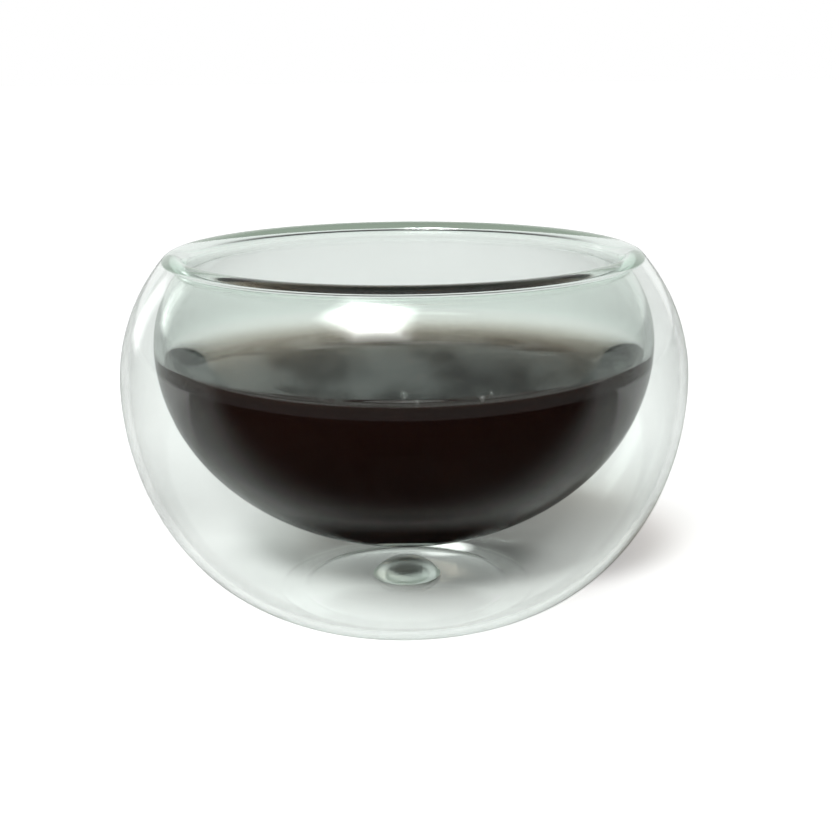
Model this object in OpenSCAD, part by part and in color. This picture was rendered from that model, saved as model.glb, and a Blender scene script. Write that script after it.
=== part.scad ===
// Double walled tea bowl of clear glass, filled with tea.
// An outer shell and an inner bowl are fused at the lip, with still air between them.
// The origin is the middle of the foot on the table, and Z runs up the cup's axis.
// Outlines are written as [radius, height] and turned about that axis.

/* [Outer shell] */
// Greatest width of the cup, across its belly
belly_d = 80; // [76:0.5:90]
// Height of the lip's crest above the table
cup_h = 50.9; // [49:0.1:54]
// Height of the lip's crest above the belly's widest ring
shoulder_h = 17.9; // [16:0.1:20]
// Radius of the round shoulder between the belly and the lip
shoulder_r = 26; // [23:0.5:30]
// Thickness of the shell's wall
shell_t = 1.2; // [1:0.1:1.5]

/* [Base] */
// Outer width of the foot
foot_d = 37.6; // [32:0.2:42]
// Width of the flat ring that stands on the table
foot_w = 3.6; // [2:0.1:5]
// Height of the hollow pushed up into the base
punt_h = 1.2; // [1:0.1:2.4]
// Width of the vent hole in the middle of the base
vent_d = 5; // [3:0.5:7]
// Width of the glass nub that seals the vent, inside the shell
seal_d = 10; // [8:0.5:12]
// Height of that nub above the base's inside face
seal_h = 2.6; // [1:0.1:3.4]
// How far the seal bulges down into the hollow
seal_drop = 0.5; // [0.2:0.1:0.8]
// Flat glass left round the nub
seal_margin = 1; // [0.5:0.1:2]

/* [Lip] */
// Width of the round top end of the air gap, inside the lip
crotch_w = 1.5; // [1:0.1:2]
// Length of fused glass below the middle of the lip's round edge
weld_len = 0.3; // [0.2:0.1:1]

/* [Inner bowl] */
// Air gap beside the bowl's widest ring
air_gap = 3.2; // [2.4:0.1:4]
// Height of the bowl's widest ring above the belly's
bowl_rise = 5; // [3:0.1:6]
// Air gap between the nub and the underside of the bowl
floor_gap = 4.3; // [2:0.1:6]
// Thickness of the bowl's wall
bowl_t = 1.2; // [1:0.1:1.5]

/* [Tea] */
// Depth of the tea's flat surface below the lip's crest
tea_drop = 16.9; // [15:0.1:26]
// How far the tea climbs the glass round its edge
meniscus_h = 3.5; // [1:0.1:3.8]

/* [Hidden] */
$fn = 96;

// Steps in each stretch of an outline
long_steps = 26;
arc_steps = 14;
edge_steps = 8;
// Share of the foot's radius at which the lower curve of the shell runs level
level_share = 0.62;
// Lean of the tea's surface where it meets the glass, and where it counts as flat
steep_lean = 80;
flat_lean = 5;

glass_color = [0.85, 0.92, 0.89, 0.35];
lip_color = [0.72, 0.80, 0.76, 0.45];
tea_color = [0.10, 0.05, 0.035];

// Shell: a round shoulder above the belly and an oval curve from the belly to the foot
belly_r = belly_d / 2;
belly_z = cup_h - shoulder_h;
shoulder_mid = [belly_r - shoulder_r, belly_z];
foot_r = foot_d / 2;
lower_mid = [foot_r * level_share, belly_z];
lower_r = belly_r - lower_mid.x;
lower_drop = belly_z / sqrt(1 - pow((foot_r - lower_mid.x) / lower_r, 2));
foot_angle = -asin(belly_z / lower_drop);
trough_angle = -asin((belly_z - shell_t) / (lower_drop - shell_t));

// Base: the hollow is an arc from the foot ring up to a flat roof that carries the seal
vent_r = vent_d / 2;
seal_r = seal_d / 2;
roof_r = seal_r + seal_margin;
roof_z = punt_h + shell_t;
foot_in_r = foot_r - foot_w;
punt_r = (pow(foot_in_r - roof_r, 2) + pow(punt_h, 2)) / (2 * punt_h);
punt_mid = [roof_r, punt_h - punt_r];
punt_angle = asin((punt_r - punt_h) / punt_r);
punt_in_angle = asin((shell_t - punt_mid.y) / (punt_r + shell_t));

// Lip: a round bead over both walls and the gap, level with the shoulder and the bowl's curl
bead_r = (shell_t + crotch_w + bowl_t) / 2;
bead_z = cup_h - bead_r;
bead_mid = [
    shoulder_mid.x + sqrt(pow(shoulder_r - bead_r, 2) - pow(bead_z - belly_z, 2)),
    bead_z
];

// Bowl: an oval cup whose wall curls in to the lip above its widest ring
bowl_z = belly_z + bowl_rise;
bowl_r = shoulder_mid.x + sqrt(pow(shoulder_r - shell_t, 2) - pow(bowl_rise, 2)) - air_gap - bowl_t;
bowl_floor = roof_z + seal_h + floor_gap + bowl_t;
bowl_deep = bowl_z - bowl_floor;
inset = bowl_r - bead_mid.x;
curl_h = bead_z - bowl_z;
curl_r = (pow(inset, 2) + pow(curl_h, 2) - pow(bead_r, 2)) / (2 * (inset + bead_r));
curl_mid = [bowl_r - curl_r, bowl_z];

// Weld: where the shell and the bowl end and the fused glass begins
shell_lean = atan2(bead_z - belly_z, bead_mid.x - shoulder_mid.x);
bowl_lean = atan2(curl_h, bead_mid.x - curl_mid.x);
shell_cut = shell_lean - swing(weld_len, shoulder_r - bead_r);
bowl_cut = bowl_lean - swing(weld_len, curl_r + bead_r);

// Tea: its flat surface, the higher line where it wets the glass, and the size of the curve between
tea_level = cup_h - tea_drop;
contact_z = tea_level + meniscus_h;
creep = meniscus_h / (2 * (sin(steep_lean / 2) - sin(flat_lean / 2)));

// Angle that a length takes on a circle
function swing(length, radius) = 360 * length / (2 * PI * radius);

// Points of an oval arc about mid, from one angle to another
function oval(mid, width, height, from, to, steps) = [
    for (i = [0 : steps])
        let (angle = from + (to - from) * i / steps)
        mid + [width * cos(angle), height * sin(angle)]
];

// Points of a round arc
function arc(mid, radius, from, to, steps) = oval(mid, radius, radius, from, to, steps);

// Points of a dome from its top on the axis to its rim
function dome(radius, height, steps) =
    let (ball = (pow(radius, 2) + pow(height, 2)) / (2 * height))
    arc([0, height - ball], ball, 90, acos(radius / ball), steps);

// The same points in the other order
function backward(points) = [for (i = [len(points) - 1 : -1 : 0]) points[i]];

// Inside face of the bowl at a height
function bowl_point(z) = z < bowl_z
    ? [bowl_r * sqrt(max(0, 1 - pow((bowl_z - z) / bowl_deep, 2))), z]
    : [curl_mid.x + sqrt(pow(curl_r, 2) - pow(z - bowl_z, 2)), z];

// Inside face of the bowl below the tea's edge, which the tea shares
function wet_points() = [
    for (i = [0 : long_steps])
        bowl_point(bowl_floor + (contact_z - bowl_floor) * (1 - cos(90 * i / long_steps)))
];

// Inside face of the bowl from the tea's edge up to the weld
function dry_points() =
    let (top_z = bowl_z + curl_r * sin(bowl_cut))
    [for (i = [1 : arc_steps]) bowl_point(contact_z + (top_z - contact_z) * i / arc_steps)];

// How far in from the glass the tea's surface has a given lean
function creep_in(lean) = creep * (
    ln(tan(steep_lean / 4) / tan(lean / 4)) + 2 * cos(steep_lean / 2) - 2 * cos(lean / 2)
);

// Surface of the tea from the glass inward, curved up at its edge as surface tension draws it
function meniscus_points() = [
    for (i = [1 : edge_steps])
        let (
            lean = steep_lean * pow(flat_lean / steep_lean, i / edge_steps),
            rise = 2 * creep * (sin(lean / 2) - sin(flat_lean / 2))
        )
        [bowl_point(contact_z).x - creep_in(lean), i < edge_steps ? tea_level + rise : tea_level]
];

// Rounded end of the air gap, from the bowl's side to the shell's
function gap_end_points() =
    let (
        shell_corner = shoulder_mid + (shoulder_r - shell_t) * [cos(shell_cut), sin(shell_cut)],
        bowl_corner = curl_mid + (curl_r + bowl_t) * [cos(bowl_cut), sin(bowl_cut)],
        middle = (shell_corner + bowl_corner) / 2,
        across = shell_corner - middle,
        up = [-across.y, across.x]
    )
    [
        for (i = [0 : edge_steps])
            let (angle = 180 * (1 - i / edge_steps))
            middle + across * cos(angle) + up * sin(angle)
    ];

// Glass turned about the cup's axis from an outline
module turned_glass(outline, tint = glass_color) {
    color(tint)
        rotate_extrude()
            polygon(outline);
}

module outer_shell() {
    turned_glass(concat(
        oval(lower_mid, lower_r, lower_drop, foot_angle, 0, long_steps),
        arc(shoulder_mid, shoulder_r, shell_cut / arc_steps, shell_cut, arc_steps - 1),
        arc(shoulder_mid, shoulder_r - shell_t, shell_cut, shell_cut / arc_steps, arc_steps - 1),
        oval(lower_mid, lower_r - shell_t, lower_drop - shell_t, 0, trough_angle, long_steps),
        arc(punt_mid, punt_r + shell_t, punt_in_angle, 90, edge_steps),
        [[vent_r, roof_z], [vent_r, punt_h]],
        arc(punt_mid, punt_r, 90, punt_angle, edge_steps)
    ));
}

module inner_bowl() {
    turned_glass(concat(
        wet_points(),
        dry_points(),
        arc(curl_mid, curl_r + bowl_t, bowl_cut, bowl_cut / arc_steps, arc_steps - 1),
        oval([0, bowl_z], bowl_r + bowl_t, bowl_deep + bowl_t, 0, -90, long_steps)
    ));
}

module lip_ring() {
    turned_glass(
        concat(
            arc(shoulder_mid, shoulder_r, shell_cut, shell_lean, 1),
            arc(bead_mid, bead_r, shell_lean, 180 + bowl_lean, long_steps),
            [curl_mid + curl_r * [cos(bowl_cut), sin(bowl_cut)]],
            gap_end_points()
        ),
        lip_color
    );
}

module vent_seal() {
    turned_glass(concat(
        [for (p = dome(seal_r, seal_h, edge_steps)) [p.x, roof_z + p.y]],
        [[vent_r, roof_z]],
        [for (p = backward(dome(vent_r, seal_drop, edge_steps))) [p.x, punt_h - p.y]]
    ));
}

module tea() {
    color(tea_color)
        rotate_extrude()
            polygon(concat(wet_points(), meniscus_points(), [[0, tea_level]]));
}

outer_shell();
inner_bowl();
lip_ring();
vent_seal();
tea();
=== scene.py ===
"""Looks of a double walled glass cup filled with dark tea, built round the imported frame."""

import math

import bmesh
import bpy
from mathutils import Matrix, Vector


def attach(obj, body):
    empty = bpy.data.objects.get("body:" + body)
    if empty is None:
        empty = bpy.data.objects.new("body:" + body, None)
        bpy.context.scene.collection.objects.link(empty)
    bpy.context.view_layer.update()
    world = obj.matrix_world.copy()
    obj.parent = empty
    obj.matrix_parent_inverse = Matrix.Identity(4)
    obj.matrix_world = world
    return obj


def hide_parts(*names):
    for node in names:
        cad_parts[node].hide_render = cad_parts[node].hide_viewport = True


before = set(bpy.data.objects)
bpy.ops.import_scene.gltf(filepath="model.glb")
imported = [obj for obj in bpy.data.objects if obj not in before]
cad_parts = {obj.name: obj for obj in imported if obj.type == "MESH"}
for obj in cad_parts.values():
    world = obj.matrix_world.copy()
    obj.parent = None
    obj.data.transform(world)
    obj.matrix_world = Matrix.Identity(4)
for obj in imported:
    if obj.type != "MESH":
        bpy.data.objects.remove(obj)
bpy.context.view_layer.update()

MM = 0.001
TURN = 2 * math.pi

# Outer shell, as in the CAD model
BELLY_R = 40 * MM
SHOULDER_R = 26 * MM
CUP_H = 50.9 * MM
SHOULDER_H = 17.9 * MM
SHELL_T = 1.2 * MM
FOOT_R = 18.8 * MM
FOOT_W = 3.6 * MM
LEVEL_SHARE = 0.62
PUNT_H = 1.2 * MM
VENT_R = 2.5 * MM
SEAL_R = 5 * MM
SEAL_H = 2.6 * MM
SEAL_DROP = 0.5 * MM
SEAL_MARGIN = 1 * MM

# Lip and inner bowl
CROTCH_W = 1.5 * MM
WELD_LEN = 0.3 * MM
AIR_GAP = 3.2 * MM
BOWL_RISE = 5 * MM
FLOOR_GAP = 4.3 * MM
BOWL_T = 1.2 * MM

# Tea, with a gap that keeps its mesh off the glass
TEA_DROP = 16.9 * MM
MENISCUS_H = 3.5 * MM
MENISCUS_LEAN = math.radians(80)
MENISCUS_END = math.radians(0.6)
SKIN = 0.01 * MM

# Bubbles on the tea: turn about the axis from the front, distance from the axis and width
BUBBLES = (
    (math.radians(0.5), 33.9 * MM, 1.0 * MM),
    (math.radians(3.2), 33.6 * MM, 0.6 * MM),
    (math.radians(16.5), 33.6 * MM, 0.7 * MM),
    (math.radians(18.2), 33.9 * MM, 0.5 * MM),
)

# Height of a bubble's middle above the tea, as a share of its width
BUBBLE_LIFT = 0.55

# Mesh density, the sharpest bend that is shaded smooth, and the distance at which points are one
AROUND = 192
LONG_STEPS = 64
ARC_STEPS = 28
EDGE_STEPS = 14
BUBBLE_AROUND = 24
BUBBLE_RINGS = 12
SOFT_EDGE = math.cos(math.radians(35))
TOUCH = SKIN / 10

# Slots of a turned mesh: its open faces, and those that join the next piece
OPEN = 0
JOINED = 1

# Glass: its tint at each face, and the shade of the light that it lets straight through
GLASS_IOR = 1.47
SHELL_TINT = (0.985, 0.999, 0.99)
BOWL_TINT = (0.98, 0.998, 0.988)
LIP_TINT = (0.955, 0.98, 0.965)
SEAL_TINT = (0.92, 0.955, 0.935)
WALL_SHADE = (0.985, 0.995, 0.99)
LIP_SHADE = (0.97, 0.985, 0.975)
SEAL_SHADE = (0.95, 0.97, 0.96)
SEAL_ROUGHNESS = 0.3

# Slow waves in the surface of blown glass
WAVE_SCALE = 45
WAVE_DETAIL = 1.5
WAVE_ROUGHNESS = 0.4
WAVE_DEPTH = 0.03 * MM

# Painted glow that the glass shows to light bent or mirrored many times, and the count that this takes, less
# a half
PAINTED_GLOW_COLOR = (0.36, 0.375, 0.34)
PAINTED_GLOW_AFTER = 11.5

# Tea and the skin of its bubbles
TEA_IOR = 1.333
TEA_COLOR = (0.66, 0.6, 0.54, 1)
TEA_DENSITY = 390
TEA_HAZE = (0.5, 0.12, 0.07, 1)
HAZE_SHARE = 0.014
FILM_SHINE = 0.3
FILM_ROUGHNESS = 0.25

# Counts of mirrorings and of faces passed from which a ray sees other levels, less a half
MIRRORED = 0.5
TWO_FACES = 1.5
THREE_FACES = 2.5
FOUR_FACES = 3.5
EIGHT_FACES = 7.5

# Table: its size, its gap to the foot and its levels, with painted shadow, painted light and a painted dark
# reflection
FLOOR_HALF = 3.0
FLOOR_SINK = 0.02 * MM
FLOOR_GLOW = 0.2
PAPER = 0.86
# Painted shadow: the paper's level under the cup
PAINTED_SHADOW_PAPER = 0.38
# Painted dark reflection: the table's colour where glass mirrors it
PAINTED_DARK_REFLECTION = (0.025, 0.025, 0.025, 1)
# Painted light: levels of the halo round the cup's shade and of the bright patch under the cup
HALO_LEVEL = 0.42
SPOT_LEVEL = 1.6

# Painted patches on the table, shadow under the cup, shade beside its foot, the cup's shade ringed by
# painted light and a bright spot: the middle and the reach of each
CORE_AT = (5 * MM, 9.5 * MM, 0)
CORE_SIZE = (19 * MM, 12.2 * MM, 1)
SIDE_AT = (-23 * MM, 5 * MM, 0)
SIDE_SIZE = (12 * MM, 13 * MM, 1)
SHADE_AT = (7 * MM, 25 * MM, 0)
SHADE_SIZE = (34 * MM, 26 * MM, 1)
SPOT_AT = (6 * MM, 15 * MM, 0)
SPOT_SIZE = (4.5 * MM, 3.5 * MM, 1)

# Fades in the patches: share of the reach where each starts and ends, and the level at both
CORE_FADE = (0.65, 1.1, PAINTED_SHADOW_PAPER, PAPER)
SIDE_FADE = (0.4, 1.3, 0.68, 1)
HALO_RISE = (0.9, 1.2, 0, HALO_LEVEL)
HALO_FALL = (2, 6, 1, 0)
SPOT_FADE = (0.45, 1.2, SPOT_LEVEL, 0)

# Fades by distance from the cup's axis, of the table's glow, its painted light near the cup and its painted
# dark reflection
NEAR_FADE = (40 * MM, 110 * MM, 0, 0.2)
LATER_FADE = (220 * MM, 330 * MM, 0, -0.08)
FAR_FADE = (100 * MM, 3000 * MM, 0, 0.45)
AWAY_FADE = (38 * MM, 60 * MM, 0, 1)
UNDER_FADE = (12 * MM, 34 * MM, 1, 0)

# Fades by depth, which is below 0 in front of the cup's axis and above 0 behind it
BACK_FADE = (-2 * MM, 40 * MM, 1, 0.25)
OUTER_FADE = (-28 * MM, -38 * MM, 0, 1)
SIDEWAYS_FADE = (40 * MM, -30 * MM, 0, 1)
BEFORE_FADE = (-4 * MM, -36 * MM, 0.4, 1)

# World: its level as light on the object
WORLD_FILL = 0.4

# Room that the glass mirrors: its levels, partly painted reflection levels set by how many faces of glass a
# ray has passed, its patches, and its fades by direction
FRONT_LEVEL = 0.02
FRONT_INSIDE = 0.3
DEEP_LEVEL = 0.95
PATCH_SCALE = 14
PATCH_DETAIL = 2
PATCH_FADE = (0.35, 0.65, 0.5, 1.5)
AHEAD_FADE = (0.1, 0.95, 0, 1)
ROOM_FADE = (-0.12, 0.06, 0.5, 0.32)
OVERHEAD_FADE = (0.5, 0.85, 1, 0.1)

# Bright panes: corners in metres, and the share of their reach and of their level at each ring
WINDOW_PANE = ((-1.15, -0.07), (-0.6, 0.74), (0.77, 0.69), (0.95, -0.52), (-0.21, -0.78))
DOOR_PANE = ((-0.08, -0.11), (-0.07, 0.13), (0.06, 0.14), (0.08, -0.12))
PANE_RINGS = ((0.8, 1), (1, 0.3), (1.25, 0.08), (1.7, 0))

# Camera, matched to the photograph
CAMERA_AT = (2.48 * MM, -200 * MM, 78.2 * MM)
CAMERA_PITCH = math.radians(14.6)
CAMERA_ROLL = math.radians(0.45)
CAMERA_LENS = 61.36
CAMERA_SENSOR = 36
CAMERA_NEAR = 10 * MM

# Limits on how often light is bent or mirrored, and on how bright it may come back
PASSES = 32
MIRRORINGS = 12
CLEAR_PASSES = 48
CLAMP = 6


def swing(length, radius):
    """Angle that a length takes on a circle."""
    return length / radius


def on_arc(mid, radius, angle):
    """Place on a circle."""
    return (mid[0] + radius * math.cos(angle), mid[1] + radius * math.sin(angle))


def oval(mid, width, height, start, end, steps, out=1):
    """Points (r, z, normal r, normal z) along an oval arc. For out=-1 the normals point into it."""
    points = []
    for i in range(steps + 1):
        angle = start + (end - start) * i / steps
        side, up = math.cos(angle) / width, math.sin(angle) / height
        size = out * math.hypot(side, up)
        points.append((
            mid[0] + width * math.cos(angle),
            mid[1] + height * math.sin(angle),
            side / size,
            up / size,
        ))
    return points


def arc(mid, radius, start, end, steps, out=1):
    """Points along a round arc."""
    return oval(mid, radius, radius, start, end, steps, out)


def line(start, end, normal, steps=1):
    """A straight stretch with one normal."""
    spots = [Vector(start).lerp(Vector(end), i / steps) for i in range(steps + 1)]
    return [(*spot, *normal) for spot in spots]


def across(start, end):
    """A straight stretch whose normal lies to its right."""
    along = Vector(end) - Vector(start)
    normal = Vector((along.y, -along.x)).normalized()
    return line(start, end, normal)


def dome(radius, height, base_z, steps, up=1):
    """Points of a dome from its top on the axis to its rim."""
    ball = (radius ** 2 + height ** 2) / (2 * height)
    rim = math.acos(radius / ball)
    points = arc((0, height - ball), ball, math.pi / 2, rim, steps)
    return [(r, base_z + up * z, nr, up * nz) for r, z, nr, nz in points]


# Curves of the shell
belly_z = CUP_H - SHOULDER_H
shoulder_mid = (BELLY_R - SHOULDER_R, belly_z)
lower_mid = (FOOT_R * LEVEL_SHARE, belly_z)
lower_r = BELLY_R - lower_mid[0]
lower_drop = belly_z / math.sqrt(1 - ((FOOT_R - lower_mid[0]) / lower_r) ** 2)
foot_angle = -math.asin(belly_z / lower_drop)
trough_angle = -math.asin((belly_z - SHELL_T) / (lower_drop - SHELL_T))

# Curves of the base
roof_r = SEAL_R + SEAL_MARGIN
roof_z = PUNT_H + SHELL_T
foot_in_r = FOOT_R - FOOT_W
punt_r = ((foot_in_r - roof_r) ** 2 + PUNT_H ** 2) / (2 * PUNT_H)
punt_mid = (roof_r, PUNT_H - punt_r)
punt_angle = math.asin((punt_r - PUNT_H) / punt_r)
punt_in_angle = math.asin((SHELL_T - punt_mid[1]) / (punt_r + SHELL_T))

# Round edge of the lip
bead_r = (SHELL_T + BOWL_T + CROTCH_W) / 2
bead_z = CUP_H - bead_r
bead_mid = (shoulder_mid[0] + math.sqrt((SHOULDER_R - bead_r) ** 2 - (bead_z - belly_z) ** 2), bead_z)

# Curves of the bowl
bowl_z = belly_z + BOWL_RISE
bowl_r = shoulder_mid[0] + math.sqrt((SHOULDER_R - SHELL_T) ** 2 - BOWL_RISE ** 2) - AIR_GAP - BOWL_T
bowl_floor = roof_z + SEAL_H + FLOOR_GAP + BOWL_T
bowl_deep = bowl_z - bowl_floor
inset = bowl_r - bead_mid[0]
curl_h = bead_z - bowl_z
curl_r = (inset ** 2 + curl_h ** 2 - bead_r ** 2) / (2 * (inset + bead_r))
curl_mid = (bowl_r - curl_r, bowl_z)

# Welds, where the two walls end and the lip begins
shell_lean = math.atan2(bead_z - belly_z, bead_mid[0] - shoulder_mid[0])
bowl_lean = math.atan2(curl_h, bead_mid[0] - curl_mid[0])
shell_cut = shell_lean - swing(WELD_LEN, SHOULDER_R - bead_r)
bowl_cut = bowl_lean - swing(WELD_LEN, curl_r + bead_r)
shell_cut_out = on_arc(shoulder_mid, SHOULDER_R, shell_cut)
shell_cut_in = on_arc(shoulder_mid, SHOULDER_R - SHELL_T, shell_cut)
bowl_cut_out = on_arc(curl_mid, curl_r + BOWL_T, bowl_cut)
bowl_cut_in = on_arc(curl_mid, curl_r, bowl_cut)

# Flat surface of the tea, and the higher line where it wets the glass
tea_level = CUP_H - TEA_DROP
contact_z = tea_level + MENISCUS_H


def bowl_point(z, gap=0.0):
    """Inside face of the bowl at a height, with its normal out of the glass, moved off it by gap."""
    if z < bowl_z:
        r = bowl_r * math.sqrt(max(0.0, 1 - ((bowl_z - z) / bowl_deep) ** 2))
        side, up = r / bowl_r ** 2, (z - bowl_z) / bowl_deep ** 2
    else:
        r = curl_mid[0] + math.sqrt(curl_r ** 2 - (z - bowl_z) ** 2)
        side, up = r - curl_mid[0], z - bowl_z
    size = -math.hypot(side, up)
    side, up = side / size, up / size
    return (max(0.0, r + gap * side), z + gap * up, side, up)


def wet_points(gap=0.0):
    """Inside face of the bowl from its floor up to the tea's edge."""
    heights = [
        bowl_floor + (contact_z - bowl_floor) * (1 - math.cos(math.pi / 2 * i / LONG_STEPS))
        for i in range(LONG_STEPS + 1)
    ]
    return [bowl_point(z, gap) for z in heights]


def dry_points():
    """Inside face of the bowl from the tea's edge up to the weld."""
    top_z = bowl_z + curl_r * math.sin(bowl_cut)
    return [bowl_point(contact_z + (top_z - contact_z) * i / ARC_STEPS) for i in range(ARC_STEPS + 1)]


def gap_end_points():
    """Rounded end of the air gap, from the bowl's side to the shell's."""
    shell_corner = Vector(shell_cut_in)
    middle = (shell_corner + Vector(bowl_cut_out)) / 2
    side = shell_corner - middle
    up = Vector((-side.y, side.x))
    points = []
    for i in range(EDGE_STEPS + 1):
        angle = math.pi * (1 - i / EDGE_STEPS)
        ray = side * math.cos(angle) + up * math.sin(angle)
        at = middle + ray
        normal = -ray.normalized()
        points.append((at.x, at.y, normal.x, normal.y))
    return points


def facing_out(stretches):
    """The stretches in the order that turns the fronts of the faces outward."""
    outline = [point for points, slot in stretches for point in points]
    area = sum(a[0] * b[1] - b[0] * a[1] for a, b in zip(outline, outline[1:] + outline[:1]))
    if area < 0:
        return [(points[::-1], slot) for points, slot in reversed(stretches)]
    return stretches


def rings_and_strips(stretches):
    """Rings (r, z) of an outline, and strips [ring, next ring, normal, next normal, slot] between them."""
    rings = [stretches[0][0][0][:2]]
    strips = []
    for points, slot in stretches:
        for start, end in zip(points, points[1:]):
            strips.append([len(rings) - 1, len(rings), start[2:], end[2:], slot])
            rings.append(end[:2])
    if math.dist(rings[0], rings[-1]) < TOUCH:
        rings.pop()
    return rings, strips


def smooth(strips):
    """Gives neighbouring strips one normal where they bend little."""
    for before, after in zip(strips, strips[1:] + strips[:1]):
        leave, enter = Vector(before[3]), Vector(after[2])
        if before[4] == after[4] and leave.dot(enter) > SOFT_EDGE:
            before[3] = after[2] = tuple((leave + enter).normalized())


def turned_verts(rings):
    """Points of the rings turned about the axis, and the number of each ring's first point."""
    verts = []
    first = []
    for r, z in rings:
        first.append(len(verts))
        if r < TOUCH:
            verts.append((0, 0, z))
            continue
        for k in range(AROUND):
            angle = TURN * k / AROUND
            verts.append((r * math.cos(angle), r * math.sin(angle), z))
    return verts, first


def turned_faces(rings, strips, first):
    """Faces of the strips, the normals at their corners, and their slot numbers."""
    pole = [r < TOUCH for r, z in rings]
    faces = []
    normals = []
    numbers = []
    for low, high, low_normal, high_normal, slot in strips:
        high %= len(rings)
        for k in range(AROUND):
            corners = [
                (low, k, low_normal),
                (low, k + 1, low_normal),
                (high, k + 1, high_normal),
                (high, k, high_normal),
            ]
            if pole[low]:
                corners.pop(1)
            elif pole[high]:
                corners.pop(3)
            face = []
            for ring, spoke, (nr, nz) in corners:
                if pole[ring]:
                    face.append(first[ring])
                    normals.append((0, 0, math.copysign(1, nz)))
                else:
                    angle = TURN * spoke / AROUND
                    face.append(first[ring] + spoke % AROUND)
                    normals.append((nr * math.cos(angle), nr * math.sin(angle), nz))
            faces.append(face)
            numbers.append(slot)
    return faces, normals, numbers


def place(name, content):
    """A new object in the scene that shows a mesh, a lamp or a camera."""
    thing = bpy.data.objects.new(name, content)
    bpy.context.scene.collection.objects.link(thing)
    return thing


def lathe(name, stretches, slots):
    """Turns an outline of stretches (points, slot number) about the cup's axis into one closed mesh."""
    rings, strips = rings_and_strips(facing_out(stretches))
    smooth(strips)
    verts, first = turned_verts(rings)
    faces, normals, numbers = turned_faces(rings, strips, first)
    mesh = bpy.data.meshes.new(name)
    mesh.from_pydata(verts, [], faces)
    mesh.polygons.foreach_set("material_index", numbers)
    mesh.polygons.foreach_set("use_smooth", [True] * len(faces))
    for material in slots:
        mesh.materials.append(material)
    mesh.normals_split_custom_set(normals)
    mesh.update()
    return place(name, mesh)


def dress(piece, node):
    """The piece stands for a CAD node."""
    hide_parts(node)
    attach(piece, "root")


def new_material(name):
    """An empty material with its nodes, links and output."""
    material = bpy.data.materials.new(name)
    material.use_nodes = True
    nodes, links = material.node_tree.nodes, material.node_tree.links
    nodes.clear()
    output = nodes.new("ShaderNodeOutputMaterial")
    return material, nodes, links, output


def feed(links, value, socket):
    """Sets a socket to a number, or links the socket that gives its value."""
    if isinstance(value, (int, float)):
        socket.default_value = value
    else:
        links.new(value, socket)


def combine(nodes, links, operation, first, second):
    """One step of arithmetic on two values, such as their sum or the greater of them."""
    both = nodes.new("ShaderNodeMath")
    both.operation = operation
    feed(links, first, both.inputs[0])
    feed(links, second, both.inputs[1])
    return both.outputs[0]


def above(nodes, links, value, limit):
    """1 where a value is over a limit."""
    return combine(nodes, links, "GREATER_THAN", value, limit)


def fade(nodes, links, value, start, end, low, high, kind="SMOOTHSTEP"):
    """A change from low to high as a value goes from start to end."""
    ramp = nodes.new("ShaderNodeMapRange")
    ramp.interpolation_type = kind
    ramp.inputs["From Min"].default_value = start
    ramp.inputs["From Max"].default_value = end
    ramp.inputs["To Min"].default_value = low
    ramp.inputs["To Max"].default_value = high
    links.new(value, ramp.inputs["Value"])
    return ramp.outputs["Result"]


def blend(nodes, links, factor, first, second):
    """Changes from one level to another with a factor."""
    level = nodes.new("ShaderNodeMix")
    level.data_type = "FLOAT"
    links.new(factor, level.inputs["Factor"])
    feed(links, first, level.inputs["A"])
    feed(links, second, level.inputs["B"])
    return level.outputs["Result"]


def mix_shaders(nodes, links, factor, first, second):
    """Changes from one surface to another with a factor."""
    mix = nodes.new("ShaderNodeMixShader")
    feed(links, factor, mix.inputs["Fac"])
    links.new(first, mix.inputs[1])
    links.new(second, mix.inputs[2])
    return mix.outputs[0]


def add_shaders(nodes, links, first, second):
    """The light of two surfaces together."""
    both = nodes.new("ShaderNodeAddShader")
    links.new(first, both.inputs[0])
    links.new(second, both.inputs[1])
    return both.outputs[0]


def length_of(nodes, links, vector):
    """Length of a vector."""
    length = nodes.new("ShaderNodeVectorMath")
    length.operation = "LENGTH"
    links.new(vector, length.inputs[0])
    return length.outputs["Value"]


def ellipse(nodes, links, spot, middle, size):
    """Distance from a middle, as a share of the reach that an ellipse has that way."""
    moved = nodes.new("ShaderNodeVectorMath")
    moved.operation = "SUBTRACT"
    moved.inputs[1].default_value = middle
    links.new(spot, moved.inputs[0])
    scaled = nodes.new("ShaderNodeVectorMath")
    scaled.operation = "DIVIDE"
    scaled.inputs[1].default_value = size
    links.new(moved.outputs["Vector"], scaled.inputs[0])
    return length_of(nodes, links, scaled.outputs["Vector"])


def unlit_rays(nodes, links):
    """1 for the shadow and diffuse rays that clear glass lets straight through."""
    path = nodes.new("ShaderNodeLightPath")
    return combine(nodes, links, "MAXIMUM", path.outputs["Is Shadow Ray"], path.outputs["Is Diffuse Ray"])


def ripple(nodes, links):
    """Normals of blown glass, with slow waves in its surface."""
    coordinates = nodes.new("ShaderNodeTexCoord")
    noise = nodes.new("ShaderNodeTexNoise")
    noise.inputs["Scale"].default_value = WAVE_SCALE
    noise.inputs["Detail"].default_value = WAVE_DETAIL
    noise.inputs["Roughness"].default_value = WAVE_ROUGHNESS
    links.new(coordinates.outputs["Object"], noise.inputs["Vector"])
    bump = nodes.new("ShaderNodeBump")
    bump.inputs["Strength"].default_value = 1
    bump.inputs["Distance"].default_value = WAVE_DEPTH
    links.new(noise.outputs["Fac"], bump.inputs["Height"])
    return bump.outputs["Normal"]


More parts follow.
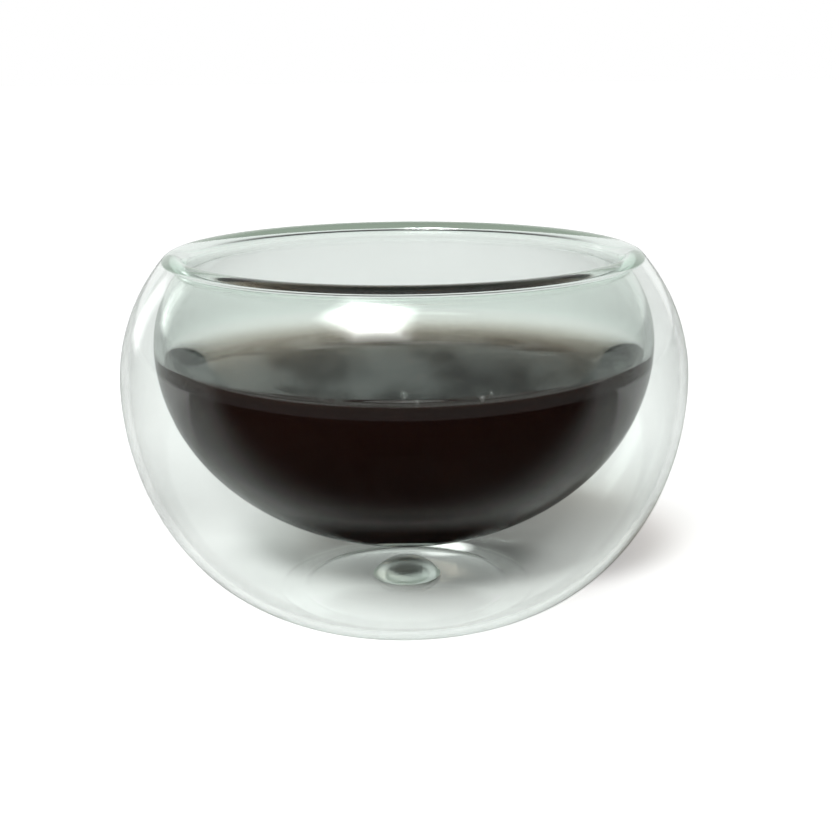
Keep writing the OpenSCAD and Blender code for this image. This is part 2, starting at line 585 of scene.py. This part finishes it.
def glass_material(name, tint, shade, roughness=0):
    """Clear blown glass with a faint green tint. Light that has run far in it meets a painted glow of set
    level.
    """
    material, nodes, links, output = new_material(name)
    glass = nodes.new("ShaderNodeBsdfGlass")
    glass.inputs["Color"].default_value = (*tint, 1)
    glass.inputs["Roughness"].default_value = roughness
    glass.inputs["IOR"].default_value = GLASS_IOR
    links.new(ripple(nodes, links), glass.inputs["Normal"])
    # Painted glow that the glass shows to rays after many bends and mirrorings
    painted_glow = nodes.new("ShaderNodeEmission")
    painted_glow.inputs["Color"].default_value = (*PAINTED_GLOW_COLOR, 1)
    path = nodes.new("ShaderNodeLightPath")
    far_in = above(nodes, links, path.outputs["Ray Depth"], PAINTED_GLOW_AFTER)
    bent = mix_shaders(nodes, links, far_in, glass.outputs[0], painted_glow.outputs[0])
    clear = nodes.new("ShaderNodeBsdfTransparent")
    clear.inputs["Color"].default_value = (*shade, 1)
    surface = mix_shaders(nodes, links, unlit_rays(nodes, links), bent, clear.outputs[0])
    links.new(surface, output.inputs["Surface"])
    return material


def join_material():
    """Glass that runs on into the next piece, so light passes the join unbent."""
    material, nodes, links, output = new_material("glass_join")
    clear = nodes.new("ShaderNodeBsdfTransparent")
    links.new(clear.outputs[0], output.inputs["Surface"])
    return material


def tea_face(nodes, ior):
    """Clear face of the tea, against air or against glass."""
    face = nodes.new("ShaderNodeBsdfGlass")
    face.inputs["Color"].default_value = (1, 1, 1, 1)
    face.inputs["Roughness"].default_value = 0
    face.inputs["IOR"].default_value = ior
    return face.outputs[0]


def tea_material():
    """Strong tea: nearly black in depth, brown where it is thin, and faintly cloudy against the glass."""
    material, nodes, links, output = new_material("tea")
    haze = nodes.new("ShaderNodeBsdfDiffuse")
    haze.inputs["Color"].default_value = TEA_HAZE
    side = mix_shaders(nodes, links, HAZE_SHARE, tea_face(nodes, TEA_IOR / GLASS_IOR), haze.outputs[0])
    wet = nodes.new("ShaderNodeAttribute")
    wet.attribute_name = "wet"
    faces = mix_shaders(nodes, links, wet.outputs["Fac"], tea_face(nodes, TEA_IOR), side)
    clear = nodes.new("ShaderNodeBsdfTransparent")
    surface = mix_shaders(nodes, links, unlit_rays(nodes, links), faces, clear.outputs[0])
    links.new(surface, output.inputs["Surface"])
    depth = nodes.new("ShaderNodeVolumeAbsorption")
    depth.inputs["Color"].default_value = TEA_COLOR
    depth.inputs["Density"].default_value = TEA_DENSITY
    links.new(depth.outputs[0], output.inputs["Volume"])
    return material


def film_material():
    """Skin of a bubble: clear, with a soft glint."""
    material, nodes, links, output = new_material("bubble_film")
    clear = nodes.new("ShaderNodeBsdfTransparent")
    shine = nodes.new("ShaderNodeBsdfGlossy")
    shine.inputs["Roughness"].default_value = FILM_ROUGHNESS
    surface = mix_shaders(nodes, links, FILM_SHINE, clear.outputs[0], shine.outputs[0])
    links.new(surface, output.inputs["Surface"])
    return material


shell_glass = glass_material("shell_glass", SHELL_TINT, WALL_SHADE)
bowl_glass = glass_material("bowl_glass", BOWL_TINT, WALL_SHADE)
lip_glass = glass_material("lip_glass", LIP_TINT, LIP_SHADE)
seal_glass = glass_material("seal_glass", SEAL_TINT, SEAL_SHADE, SEAL_ROUGHNESS)
join = join_material()
tea = tea_material()
film = film_material()


def make_shell():
    """Blown outer bowl, with its flat foot ring and the hollow and vent in its base."""
    trough = (lower_mid[0] + (lower_r - SHELL_T) * math.cos(trough_angle), SHELL_T)
    punt_start = on_arc(punt_mid, punt_r + SHELL_T, punt_in_angle)
    lower_in = oval(lower_mid, lower_r - SHELL_T, lower_drop - SHELL_T, 0, trough_angle, LONG_STEPS, out=-1)
    stretches = [
        (oval(lower_mid, lower_r, lower_drop, foot_angle, 0, LONG_STEPS), OPEN),
        (arc(shoulder_mid, SHOULDER_R, 0, shell_cut, ARC_STEPS), OPEN),
        (across(shell_cut_out, shell_cut_in), JOINED),
        (arc(shoulder_mid, SHOULDER_R - SHELL_T, shell_cut, 0, ARC_STEPS, out=-1), OPEN),
        (lower_in, OPEN),
        (line(trough, punt_start, (0, 1), EDGE_STEPS), OPEN),
        (arc(punt_mid, punt_r + SHELL_T, punt_in_angle, math.pi / 2, EDGE_STEPS), OPEN),
        (line((roof_r, roof_z), (SEAL_R, roof_z), (0, 1)), OPEN),
        (line((SEAL_R, roof_z), (VENT_R, roof_z), (0, 1)), JOINED),
        (line((VENT_R, roof_z), (VENT_R, PUNT_H), (-1, 0)), JOINED),
        (line((VENT_R, PUNT_H), (roof_r, PUNT_H), (0, -1)), OPEN),
        (arc(punt_mid, punt_r, math.pi / 2, punt_angle, EDGE_STEPS, out=-1), OPEN),
        (line((foot_in_r, 0), (FOOT_R, 0), (0, -1), EDGE_STEPS), OPEN),
    ]
    dress(lathe("shell", stretches, [shell_glass, join]), "outer_shell")


def make_bowl():
    """Blown inner bowl. Its wet face is clear, because the tea's own face bends the light there."""
    outer = oval((0, bowl_z), bowl_r + BOWL_T, bowl_deep + BOWL_T, 0, -math.pi / 2, LONG_STEPS)
    stretches = [
        (wet_points(), JOINED),
        (dry_points(), OPEN),
        (across(bowl_cut_out, bowl_cut_in)[::-1], JOINED),
        (arc(curl_mid, curl_r + BOWL_T, bowl_cut, 0, ARC_STEPS), OPEN),
        (outer, OPEN),
    ]
    dress(lathe("bowl", stretches, [bowl_glass, join]), "inner_bowl")


def make_lip():
    """Round bead of fused glass over both walls and the air gap."""
    stretches = [
        (arc(shoulder_mid, SHOULDER_R, shell_cut, shell_lean, EDGE_STEPS), OPEN),
        (arc(bead_mid, bead_r, shell_lean, math.pi + bowl_lean, LONG_STEPS), OPEN),
        (arc(curl_mid, curl_r, bowl_lean, bowl_cut, EDGE_STEPS, out=-1), OPEN),
        (across(bowl_cut_in, bowl_cut_out), JOINED),
        (gap_end_points(), OPEN),
        (across(shell_cut_in, shell_cut_out), JOINED),
    ]
    dress(lathe("lip", stretches, [lip_glass, join]), "lip_ring")


def make_seal():
    """Drop of glass that closes the vent, with a nub inside the shell and a low bulge below."""
    stretches = [
        (dome(SEAL_R, SEAL_H, roof_z, EDGE_STEPS), OPEN),
        (line((SEAL_R, roof_z), (VENT_R, roof_z), (0, -1)), JOINED),
        (line((VENT_R, roof_z), (VENT_R, PUNT_H), (1, 0)), JOINED),
        (dome(VENT_R, SEAL_DROP, PUNT_H, EDGE_STEPS, up=-1)[::-1], OPEN),
    ]
    dress(lathe("vent_nub", stretches, [seal_glass, join]), "vent_seal")


def meniscus():
    """Surface of the tea from the glass inward to the axis, curved as surface tension draws it."""
    edge = bowl_point(contact_z, SKIN)[0]
    unit = MENISCUS_H / (2 * (math.sin(MENISCUS_LEAN / 2) - math.sin(MENISCUS_END / 2)))

    def reach(lean):
        return unit * (math.log(1 / math.tan(lean / 4)) - 2 * math.cos(lean / 2))

    points = []
    for i in range(ARC_STEPS + 1):
        lean = MENISCUS_LEAN * (MENISCUS_END / MENISCUS_LEAN) ** (i / ARC_STEPS)
        rise = 2 * unit * (math.sin(lean / 2) - math.sin(MENISCUS_END / 2))
        r = edge - (reach(lean) - reach(MENISCUS_LEAN))
        points.append((r, tea_level + rise, -math.sin(lean), math.cos(lean)))
    r, z = points[-1][:2]
    points[-1] = (r, z, 0, 1)
    return points + [(0, tea_level, 0, 1)]


def make_tea():
    """Tea in the bowl. Its faces against the glass are marked as wet."""
    side = [(r, z, -nr, -nz) for r, z, nr, nz in wet_points(SKIN)]
    top = meniscus()
    side[-1] = (top[0][0], top[0][1], *side[-1][2:])
    piece = lathe("tea_body", [(side, JOINED), (top, OPEN)], [tea, tea])
    wet = piece.data.attributes.new("wet", "FLOAT", "FACE")
    wet.data.foreach_set("value", [face.material_index == JOINED for face in piece.data.polygons])
    dress(piece, "tea")


def surface_height(r):
    """Height of the tea's surface at a distance from the axis."""
    points = meniscus()
    for outer, inner in zip(points, points[1:]):
        if inner[0] <= r:
            share = (outer[0] - r) / (outer[0] - inner[0])
            return outer[1] + (inner[1] - outer[1]) * share
    return tea_level


def make_bubbles():
    """Small round bubbles that float near the edge of the tea."""
    for number, (turn, reach, width) in enumerate(BUBBLES):
        mesh = bpy.data.meshes.new("bubble")
        shape = bmesh.new()
        bmesh.ops.create_uvsphere(shape, u_segments=BUBBLE_AROUND, v_segments=BUBBLE_RINGS, radius=width / 2)
        shape.to_mesh(mesh)
        shape.free()
        mesh.polygons.foreach_set("use_smooth", [True] * len(mesh.polygons))
        mesh.materials.append(film)
        bubble = place("bubble_%d" % number, mesh)
        bubble.location = (
            reach * math.sin(turn),
            -reach * math.cos(turn),
            surface_height(reach) + width * BUBBLE_LIFT,
        )
        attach(bubble, "root")


def paper_and_painted_shade(nodes, links, spot):
    """Level of the table's paper, with painted shadow under the cup and painted shade beside its foot."""
    core = ellipse(nodes, links, spot, CORE_AT, CORE_SIZE)
    side = ellipse(nodes, links, spot, SIDE_AT, SIDE_SIZE)
    painted_shadow = fade(nodes, links, core, *CORE_FADE)
    painted_side_shade = fade(nodes, links, side, *SIDE_FADE)
    return combine(nodes, links, "MULTIPLY", painted_shadow, painted_side_shade)


def halo_level(nodes, links, spot, depth):
    """Painted light on the table outside the cup's shade, weaker towards the back and far off."""
    shade = ellipse(nodes, links, spot, SHADE_AT, SHADE_SIZE)
    rise = fade(nodes, links, shade, *HALO_RISE)
    fall = fade(nodes, links, shade, *HALO_FALL)
    back = fade(nodes, links, depth, *BACK_FADE)
    return combine(nodes, links, "MULTIPLY", combine(nodes, links, "MULTIPLY", rise, back), fall)


def glow_level(nodes, links, spot, depth, reach):
    """Light that the table gives off for the eye and through glass: a glow that grows far off, painted light
    near the cup and round its shade, and a painted bright patch under the cup.
    """
    path = nodes.new("ShaderNodeLightPath")
    direct = path.outputs["Is Camera Ray"]
    seen = combine(nodes, links, "MAXIMUM", direct, path.outputs["Is Transmission Ray"])
    patch = ellipse(nodes, links, spot, SPOT_AT, SPOT_SIZE)
    near = fade(nodes, links, reach, *NEAR_FADE)
    later = fade(nodes, links, reach, *LATER_FADE)
    halo = halo_level(nodes, links, spot, depth)
    bright = fade(nodes, links, patch, *SPOT_FADE)
    spread = fade(nodes, links, reach, *FAR_FADE, kind="LINEAR")
    for part in (near, later, halo, bright):
        spread = combine(nodes, links, "ADD", spread, part)
    glow = nodes.new("ShaderNodeMath")
    glow.operation = "MULTIPLY_ADD"
    glow.inputs[1].default_value = FLOOR_GLOW
    links.new(direct, glow.inputs[0])
    links.new(combine(nodes, links, "MULTIPLY", seen, spread), glow.inputs[2])
    return glow.outputs[0]


def painted_dark_reflection_share(nodes, links, depth, reach):
    """How much painted dark reflection the glass shows of the table: in front of the cup, and under the
    bowl.
    """
    path = nodes.new("ShaderNodeLightPath")
    passed = path.outputs["Transmission Depth"]
    outer = fade(nodes, links, depth, *OUTER_FADE)
    sideways = fade(nodes, links, depth, *SIDEWAYS_FADE)
    away = fade(nodes, links, reach, *AWAY_FADE)
    inner = combine(nodes, links, "MAXIMUM", outer, combine(nodes, links, "MULTIPLY", sideways, away))
    front = blend(nodes, links, above(nodes, links, passed, TWO_FACES), outer, inner)
    under = fade(nodes, links, reach, *UNDER_FADE)
    before = fade(nodes, links, depth, *BEFORE_FADE)
    below = combine(nodes, links, "MAXIMUM", under, before)
    dark_reflection = blend(nodes, links, above(nodes, links, passed, FOUR_FACES), front, below)
    mirrored = above(nodes, links, path.outputs["Glossy Depth"], MIRRORED)
    return combine(nodes, links, "MULTIPLY", mirrored, dark_reflection)


def floor_material():
    """Pale table top, white to the eye, that keeps the cup's soft shadow from the lamp and the world, with
    painted shadow and light round the cup and a painted dark reflection.
    """
    material, nodes, links, output = new_material("pale_table")
    coordinates = nodes.new("ShaderNodeTexCoord")
    spot = coordinates.outputs["Object"]
    apart = nodes.new("ShaderNodeSeparateXYZ")
    links.new(spot, apart.inputs[0])
    depth = apart.outputs["Y"]
    reach = length_of(nodes, links, spot)
    paper = nodes.new("ShaderNodeBsdfDiffuse")
    links.new(paper_and_painted_shade(nodes, links, spot), paper.inputs["Color"])
    glow = nodes.new("ShaderNodeEmission")
    links.new(glow_level(nodes, links, spot, depth, reach), glow.inputs["Strength"])
    # Painted dark reflection of the table, seen only by mirrored rays
    dark = nodes.new("ShaderNodeBsdfDiffuse")
    dark.inputs["Color"].default_value = PAINTED_DARK_REFLECTION
    lit = add_shaders(nodes, links, paper.outputs[0], glow.outputs[0])
    table = mix_shaders(nodes, links, painted_dark_reflection_share(nodes, links, depth, reach), lit, dark.outputs[0])
    links.new(table, output.inputs["Surface"])
    return material


def make_floor():
    """Square table top, a hair below the foot."""
    half = FLOOR_HALF
    corners = [(-half, -half, 0), (half, -half, 0), (half, half, 0), (-half, half, 0)]
    mesh = bpy.data.meshes.new("floor")
    mesh.from_pydata(corners, [], [(0, 1, 2, 3)])
    mesh.materials.append(floor_material())
    floor = place("floor", mesh)
    floor.location.z = -FLOOR_SINK


def room_level(nodes, links, direction, passed):
    """Room that glass mirrors: bright and uneven behind the cup, dim in front of it and overhead, and
    painted reflection levels by the faces passed.
    """
    apart = nodes.new("ShaderNodeSeparateXYZ")
    links.new(direction, apart.inputs[0])
    patches = nodes.new("ShaderNodeTexNoise")
    patches.inputs["Scale"].default_value = PATCH_SCALE
    patches.inputs["Detail"].default_value = PATCH_DETAIL
    links.new(direction, patches.inputs["Vector"])
    mottle = fade(nodes, links, patches.outputs["Fac"], *PATCH_FADE)
    room = fade(nodes, links, apart.outputs["X"], *ROOM_FADE)
    uneven = combine(nodes, links, "MULTIPLY", room, mottle)
    # Painted reflection levels, set by how many faces of glass the ray has passed
    behind = blend(nodes, links, above(nodes, links, passed, EIGHT_FACES), DEEP_LEVEL, uneven)
    two_or_more = above(nodes, links, passed, TWO_FACES)
    three_or_more = above(nodes, links, passed, THREE_FACES)
    just_two = combine(nodes, links, "SUBTRACT", two_or_more, three_or_more)
    front = blend(nodes, links, just_two, FRONT_LEVEL, FRONT_INSIDE)
    ahead = fade(nodes, links, apart.outputs["Y"], *AHEAD_FADE)
    overhead = fade(nodes, links, apart.outputs["Z"], *OVERHEAD_FADE)
    return combine(nodes, links, "MULTIPLY", blend(nodes, links, ahead, front, behind), overhead)


def make_world():
    """White to the eye and through glass, dimmer as light on the object, and a room with painted levels in
    reflections.
    """
    world = bpy.data.worlds.new("studio")
    bpy.context.scene.world = world
    world.use_nodes = True
    nodes, links = world.node_tree.nodes, world.node_tree.links
    nodes.clear()
    output = nodes.new("ShaderNodeOutputWorld")
    coordinates = nodes.new("ShaderNodeTexCoord")
    path = nodes.new("ShaderNodeLightPath")
    room = room_level(nodes, links, coordinates.outputs["Generated"], path.outputs["Transmission Depth"])
    direct = blend(nodes, links, path.outputs["Is Diffuse Ray"], 1, WORLD_FILL)
    mirrored = above(nodes, links, path.outputs["Glossy Depth"], MIRRORED)
    background = nodes.new("ShaderNodeBackground")
    background.inputs["Color"].default_value = (1, 1, 1, 1)
    links.new(blend(nodes, links, mirrored, direct, room), background.inputs["Strength"])
    links.new(background.outputs[0], output.inputs["Surface"])


def aim(thing, azimuth, elevation, distance):
    """Places a lamp or a pane and turns it to the cup. Azimuth 0 is in front, and 90 is to the right."""
    side, rise = math.radians(azimuth), math.radians(elevation)
    way = Vector((math.sin(side) * math.cos(rise), -math.cos(side) * math.cos(rise), math.sin(rise)))
    thing.location = way * distance + Vector((0, 0, belly_z))
    thing.rotation_euler = way.to_track_quat("Z", "Y").to_euler()


def make_lamp(name, azimuth, elevation, distance, width, height, power):
    """A soft rectangular lamp that doesn't show in the glass."""
    lamp = bpy.data.lights.new(name, "AREA")
    lamp.shape = "RECTANGLE"
    lamp.size = width
    lamp.size_y = height
    lamp.energy = power
    holder = place(name, lamp)
    aim(holder, azimuth, elevation, distance)
    holder.visible_glossy = False
    holder.visible_transmission = False


def pane_material():
    """Light from a pane, fading past its edge, over what lies behind it."""
    material, nodes, links, output = new_material("pane_light")
    level = nodes.new("ShaderNodeAttribute")
    level.attribute_name = "level"
    light = nodes.new("ShaderNodeEmission")
    links.new(level.outputs["Fac"], light.inputs["Strength"])
    clear = nodes.new("ShaderNodeBsdfTransparent")
    links.new(add_shaders(nodes, links, light.outputs[0], clear.outputs[0]), output.inputs["Surface"])
    return material


pane_light = pane_material()


def make_pane(name, outline, level, azimuth, elevation, distance):
    """A bright pane that only shows as a highlight on the glass, with its corners in its own plane."""
    corners = [Vector((x, y, 0)) for x, y in outline]
    count = len(corners)
    middle = sum(corners, Vector()) / count
    verts = [middle]
    levels = [level]
    for share, part in PANE_RINGS:
        verts += [middle.lerp(corner, share) for corner in corners]
        levels += [level * part] * count
    faces = [(0, 1 + k, 1 + (k + 1) % count) for k in range(count)]
    for ring in range(len(PANE_RINGS) - 1):
        base = 1 + ring * count
        for k in range(count):
            after = (k + 1) % count
            faces.append((base + k, base + count + k, base + count + after, base + after))
    mesh = bpy.data.meshes.new(name)
    mesh.from_pydata(verts, [], faces)
    mesh.attributes.new("level", "FLOAT", "POINT").data.foreach_set("value", levels)
    mesh.materials.append(pane_light)
    pane = place(name, mesh)
    aim(pane, azimuth, elevation, distance)
    pane.visible_camera = False
    pane.visible_diffuse = False
    pane.visible_shadow = False


def make_camera():
    """Camera at the photograph's place and angle."""
    lens = bpy.data.cameras.new("camera")
    lens.lens = CAMERA_LENS
    lens.sensor_width = CAMERA_SENSOR
    lens.clip_start = CAMERA_NEAR
    camera = place("camera", lens)
    camera.location = CAMERA_AT
    camera.rotation_euler = (math.pi / 2 - CAMERA_PITCH, CAMERA_ROLL, 0)
    bpy.context.scene.camera = camera


def set_rendering():
    """Plain colours, and enough passes for a double wall of glass."""
    scene = bpy.context.scene
    scene.view_settings.view_transform = "Standard"
    scene.cycles.max_bounces = PASSES
    scene.cycles.transmission_bounces = PASSES
    scene.cycles.glossy_bounces = MIRRORINGS
    scene.cycles.transparent_max_bounces = CLEAR_PASSES
    scene.cycles.caustics_reflective = True
    scene.cycles.caustics_refractive = True
    scene.cycles.sample_clamp_indirect = CLAMP


make_shell()
make_bowl()
make_lip()
make_seal()
make_tea()
make_bubbles()
make_floor()
make_world()
make_pane("window", WINDOW_PANE, level=45, azimuth=-20, elevation=56, distance=5)
make_pane("door", DOOR_PANE, level=1.0, azimuth=-136, elevation=6, distance=0.8)
make_lamp("sky", azimuth=-32, elevation=48, distance=5, width=2, height=2, power=190)
make_camera()
set_rendering()
